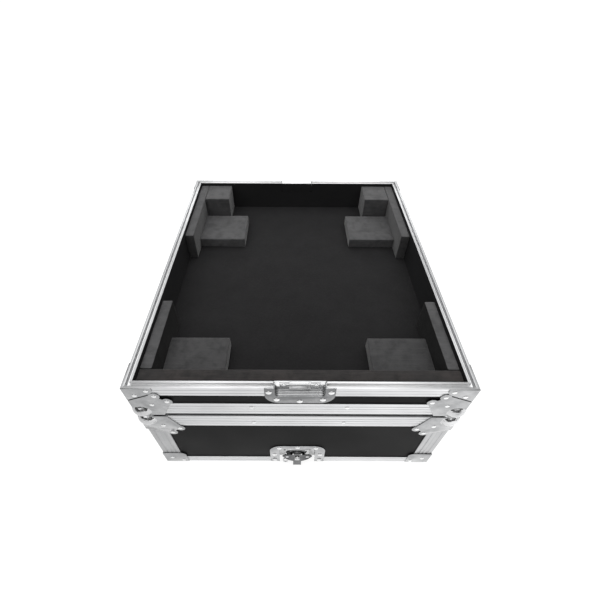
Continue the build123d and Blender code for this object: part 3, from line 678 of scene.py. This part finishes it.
def foam_block(draft, low, high, seed):
    """Adds one sawn block, with slightly wavy faces just inside its CAD box."""
    middle = (low + high) / 2
    for vertex in box_grid(draft, low, high):
        place = vertex.co * WAVES_PER_METRE + Vector((seed * BLOCK_STEP, 0.0, 0.0))
        for axis in range(3):
            reach = (high - low)[axis] / 2
            on_face = abs(vertex.co[axis] - middle[axis]) > 0.999 * reach
            if on_face:
                wave = 0.5 + 0.5 * noise.noise(place + Vector((axis * AXIS_STEP, 0, 0)))
                depth = FOAM_LEAST_CUT + FOAM_WAVE * wave
                sign = 1 if vertex.co[axis] > middle[axis] else -1
                vertex.co[axis] -= sign * depth * MM


def foam_piece(node, body, faces, top):
    """The sawn blocks of a CAD node of foam, with one foam on their tops and one elsewhere."""
    draft = bmesh.new()
    for seed, corners in enumerate(islands(node)):
        low = Vector([min(c[axis] for c in corners) for axis in range(3)])
        high = Vector([max(c[axis] for c in corners) for axis in range(3)])
        foam_block(draft, low, high, seed + len(node))
    bmesh.ops.recalc_face_normals(draft, faces=draft.faces)
    mesh = bpy.data.meshes.new(node + "_cut")
    draft.to_mesh(mesh)
    draft.free()
    holder = bpy.data.objects.new("holder", mesh)
    bpy.context.scene.collection.objects.link(holder)
    bevel = holder.modifiers.new("edges", "BEVEL")
    bevel.width = FOAM_SOFT_EDGE * MM
    bevel.segments = 3
    bevel.limit_method = "ANGLE"
    bevel.angle_limit = math.radians(50)
    result = baked(holder)
    bpy.data.objects.remove(holder)
    smooth_by_angle(result, 60)
    piece = finished(node + "_sawn", result, body, "foam", node)
    dress(piece, faces, top)
    for face in result.polygons:
        face.material_index = int(face.normal.z > 0.7)


# Where a block's sides take a darker foam than its top, and where front blocks take darker foams than rear
# ones, the darker tone is painted shade.
foam_piece("front_foam_strip", "tray", shaded_brown_foam, shaded_brown_foam)
foam_piece("front_side_foam", "tray", side_shade_foam, grey_foam)
foam_piece("rear_side_foam", "tray", shaded_pad_foam, grey_foam)
foam_piece("rear_foam_blocks", "tray", grey_foam, grey_foam)
foam_piece("front_foam_pads", "tray", shaded_pad_foam, shaded_pad_foam)
foam_piece("rear_foam_pads", "tray", grey_foam, grey_foam)
foam_piece("lid_foam_blocks", "lid", shaded_pad_foam, shaded_pad_foam)

# Felt sheets, with sizes in mm. A window is the cut for a dish: its range along and its range up.
# The nap stands at its middle from the board, give or take its swing, in patches
FELT_THICKNESS = 1.0
NAP_MIDDLE = 0.86
NAP_SWING = 0.13
NAP_PATCH = 23.0
FELT_CELL = 6.0
BOARD_ACROSS = 219.0
BOARD_ALONG = 258.0
TRAY_FLOOR = 195.7
TRAY_FELT_TOP = 257.5
LID_CEILING = 170.3
LID_FELT_FOOT = 6.5
KEEPER_WINDOW = ((-34.8, 34.8), (236.2, 260.0))
LATCH_WINDOW = ((-32.3, 32.3), (0.0, 61.8))
HANDLE_WINDOW = ((-59.8, 59.8), (46.2, 123.8))
NO_WINDOW = ((0.0, 0.0), (0.0, 0.0))
FELT_WALLS = {
    "front": (lambda along, up: (along, -BOARD_ALONG, up), (0.0, 1.0, 0.0)),
    "rear": (lambda along, up: (along, BOARD_ALONG, up), (0.0, -1.0, 0.0)),
    "left": (lambda along, up: (-BOARD_ACROSS, along, up), (1.0, 0.0, 0.0)),
    "right": (lambda along, up: (BOARD_ACROSS, along, up), (-1.0, 0.0, 0.0)),
}


def grid_lines(low, high, cuts):
    """Distances from low to high about 6 mm apart, with one on each cut."""
    stops = sorted({low, high, *(c for c in cuts if low < c < high)})
    lines = []
    for start, end in zip(stops, stops[1:]):
        count = max(1, round((end - start) / FELT_CELL))
        lines += [start + (end - start) * n / count for n in range(count)]
    return [*lines, high]


def cloth_cells(lines, window):
    """The cells of a grid outside a window, each as four corners with the numbers of their lines."""
    cells = []
    for i, (left, right) in enumerate(zip(lines[0], lines[0][1:])):
        for j, (lower, upper) in enumerate(zip(lines[1], lines[1][1:])):
            middle = ((left + right) / 2, (lower + upper) / 2)
            if not all(low < m < high for m, (low, high) in zip(middle, window)):
                cells.append(((i, j), (i + 1, j), (i + 1, j + 1), (i, j + 1)))
    return cells


def cloth_layer(draft, lines, cells, place, inward, depth_at):
    """Adds one side of a sheet, and gives its points by the numbers of their lines."""
    layer = {}
    for i, j in sorted({key for ring in cells for key in ring}):
        point = Vector(place(lines[0][i], lines[1][j]))
        layer[i, j] = draft.verts.new((point + inward * depth_at(point)) * MM)
    for ring in cells:
        draft.faces.new([layer[key] for key in ring])
    return layer


def cloth_mesh(name, lines, window, place, inward):
    """A sheet with a glued side and an uneven nap, closed along its edges and its cut."""
    cells = cloth_cells(lines, window)
    draft = bmesh.new()
    glued = cloth_layer(draft, lines, cells, place, inward, lambda point: 0.0)
    nap = cloth_layer(
        draft, lines, cells, place, inward,
        lambda point: NAP_MIDDLE + NAP_SWING * noise.noise(point / NAP_PATCH),
    )
    uses = {}
    for ring in cells:
        for pair in zip(ring, ring[1:] + ring[:1]):
            uses.setdefault(tuple(sorted(pair)), []).append(pair)
    for pairs in uses.values():
        if len(pairs) == 1:
            start, end = pairs[0]
            draft.faces.new([glued[start], glued[end], nap[end], nap[start]])
    bmesh.ops.recalc_face_normals(draft, faces=draft.faces)
    mesh = bpy.data.meshes.new(name)
    draft.to_mesh(mesh)
    draft.free()
    smooth_by_angle(mesh, 50)
    return mesh


def felt_sheet(name, node, body, place, inward, reach, window=NO_WINDOW, cloth=felt):
    """A sheet of felt glued on a board, nearly 1 mm thick, and cut out for a dish.

    place gives the point of the glued side for two distances, inward is the way that
    the nap faces, reach is the two ranges of those distances and window is the cut's.
    """
    lines = [grid_lines(*reach[n], window[n]) for n in (0, 1)]
    mesh = cloth_mesh(name, lines, window, place, Vector(inward))
    piece = finished(name, mesh, body, "felt", node)
    dress(piece, cloth)


def wall_felt(side):
    """The sheets on a wall of the tray and of the lid. The side ones butt on the end ones. The tray's side
    sheets take the darker felt as painted shade.
    """
    place, inward = FELT_WALLS[side]
    ends = side in ("front", "rear")
    half = BOARD_ACROSS if ends else BOARD_ALONG - FELT_THICKNESS
    along = (-half, half)
    felt_sheet(
        f"tray_{side}_wall_felt", "tray_wall_lining", "tray", place, inward,
        (along, (TRAY_FLOOR + FELT_THICKNESS, TRAY_FELT_TOP)),
        KEEPER_WINDOW if ends else NO_WINDOW,
        felt if ends else painted_shade_felt,
    )
    felt_sheet(
        f"lid_{side}_wall_felt", "lid_lining", "lid", place, inward,
        (along, (LID_FELT_FOOT, LID_CEILING - FELT_THICKNESS)),
        LATCH_WINDOW if ends else HANDLE_WINDOW,
    )


for side in SIDES:
    wall_felt(side)
board_size = ((-BOARD_ACROSS, BOARD_ACROSS), (-BOARD_ALONG, BOARD_ALONG))
felt_sheet(
    "tray_floor_felt", "tray_floor_lining", "tray",
    lambda across, along: (across, along, TRAY_FLOOR), (0.0, 0.0, 1.0), board_size,
)
felt_sheet(
    "lid_ceiling_felt", "lid_lining", "lid",
    lambda across, along: (across, along, LID_CEILING), (0.0, 0.0, -1.0), board_size,
)

# Plain CAD nodes with their materials
for part in ("tray", "lid"):
    for side in SIDES:
        dress(nodes[f"{part}_{side}_panel"], laminate)
dress(nodes["tray_floor_panel"], laminate)
dress(nodes["lid_top_panel"], laminate)
dress(nodes["latch_hinge_pins"], nickel)
for side in ("left", "right"):
    dress(nodes[f"handle_bail_{side}"], bright_zinc)
    dress(nodes[f"handle_grip_{side}"], rubber)


# Studio: a white floor that keeps a faint shadow, a white surround and soft lamps
def seen_level(wiring, mirrored, given):
    """White for the camera, one level for mirrored rays and another for the light given."""
    path = wiring.add("ShaderNodeLightPath")
    seen = wiring.value("MAXIMUM", path.outputs["Is Camera Ray"], path.outputs["Is Transmission Ray"])
    glossy = wiring.value("MULTIPLY", path.outputs["Is Glossy Ray"], mirrored)
    least = wiring.value("MAXIMUM", seen, given)
    return wiring.value("MAXIMUM", least, glossy)


def floor_paper():
    """Matt paper with a glow. In mirrors it darkens away from the case, and to the left."""
    material = bpy.data.materials.new("floor_paper")
    material.use_nodes = True
    material.node_tree.nodes.clear()
    wiring = Wiring(material.node_tree)
    matt = wiring.add("ShaderNodeBsdfDiffuse")
    matt.inputs["Color"].default_value = (0.3, 0.3, 0.3, 1.0)
    place = wiring.add("ShaderNodeTexCoord").outputs["Object"]
    away = wiring.add("ShaderNodeVectorMath", operation="LENGTH")
    wiring.join(place, away.inputs[0])
    parts = wiring.add("ShaderNodeSeparateXYZ")
    wiring.join(place, parts.inputs["Vector"])
    near = wiring.ramp(away.outputs["Value"], 0.9, 2.2, 1.0, 0.12)
    slant = wiring.ramp(parts.outputs["X"], -0.5, 0.5, 0.82, 1.5)
    glow = wiring.add("ShaderNodeEmission")
    glow.inputs["Color"].default_value = (0.86, 0.86, 0.86, 1.0)
    wiring.join(seen_level(wiring, wiring.value("MULTIPLY", near, slant), 0.0), glow.inputs["Strength"])
    paper = wiring.add("ShaderNodeAddShader")
    wiring.join(matt.outputs["BSDF"], paper.inputs[0])
    wiring.join(glow.outputs["Emission"], paper.inputs[1])
    output = wiring.add("ShaderNodeOutputMaterial")
    wiring.join(paper.outputs["Shader"], output.inputs["Surface"])
    return material


def studio_floor():
    """A square sheet of paper 60 m wide, just under the case."""
    reach = 30.0
    corners = [(-reach, -reach, 0), (reach, -reach, 0), (reach, reach, 0), (-reach, reach, 0)]
    mesh = bpy.data.meshes.new("floor")
    mesh.from_pydata(corners, [], [(0, 1, 2, 3)])
    mesh.materials.append(floor_paper())
    floor = bpy.data.objects.new("floor", mesh)
    floor.location.z = -0.4 * MM
    bpy.context.scene.collection.objects.link(floor)


def studio_world():
    """A white surround. In mirrors it is dark at the horizon and dimmer at the sides."""
    world = bpy.data.worlds.new("studio")
    bpy.context.scene.world = world
    world.use_nodes = True
    wiring = Wiring(world.node_tree)
    background = world.node_tree.nodes["Background"]
    background.inputs["Color"].default_value = (1.0, 1.0, 1.0, 1.0)
    way = wiring.add("ShaderNodeSeparateXYZ")
    wiring.join(wiring.add("ShaderNodeTexCoord").outputs["Generated"], way.inputs["Vector"])
    upward = wiring.ramp(way.outputs["Z"], 0.1, 0.5, 0.12, 1.0)
    sideways = wiring.ramp(wiring.value("ABSOLUTE", way.outputs["X"]), 0.12, 0.34, 1.0, 0.45)
    mirrored = wiring.value("MULTIPLY", upward, sideways)
    overhead = wiring.ramp(way.outputs["Z"], 0.1, 1.0, 0.08, 1.05)
    path = wiring.add("ShaderNodeLightPath")
    matt = wiring.ramp(path.outputs["Is Glossy Ray"], 0.0, 1.0, 1.0, 0.0)
    given = wiring.value("MULTIPLY", overhead, matt)
    wiring.join(seen_level(wiring, mirrored, given), background.inputs["Strength"])


def soft_lamp(name, place, target, size, power):
    """A rectangular lamp turned to a target, with sizes in metres and its power in watts."""
    lamp = bpy.data.lights.new(name, "AREA")
    lamp.shape = "RECTANGLE"
    lamp.size, lamp.size_y = size
    lamp.energy = power
    holder = bpy.data.objects.new(name, lamp)
    holder.location = place
    holder.rotation_euler = (Vector(target) - Vector(place)).to_track_quat("-Z", "Y").to_euler()
    bpy.context.scene.collection.objects.link(holder)


studio_floor()
studio_world()
soft_lamp("top_box", (0.0, 0.5, 2.4), (0.0, 0.0, 0.2), (3.0, 2.2), 20.0)
soft_lamp("back_box", (0.0, 2.4, 1.3), (0.0, 0.2, 0.25), (2.6, 0.9), 16.0)
soft_lamp("front_box", (-1.2, -2.4, 1.6), (0.0, 0.0, 0.15), (1.6, 1.2), 8.0)
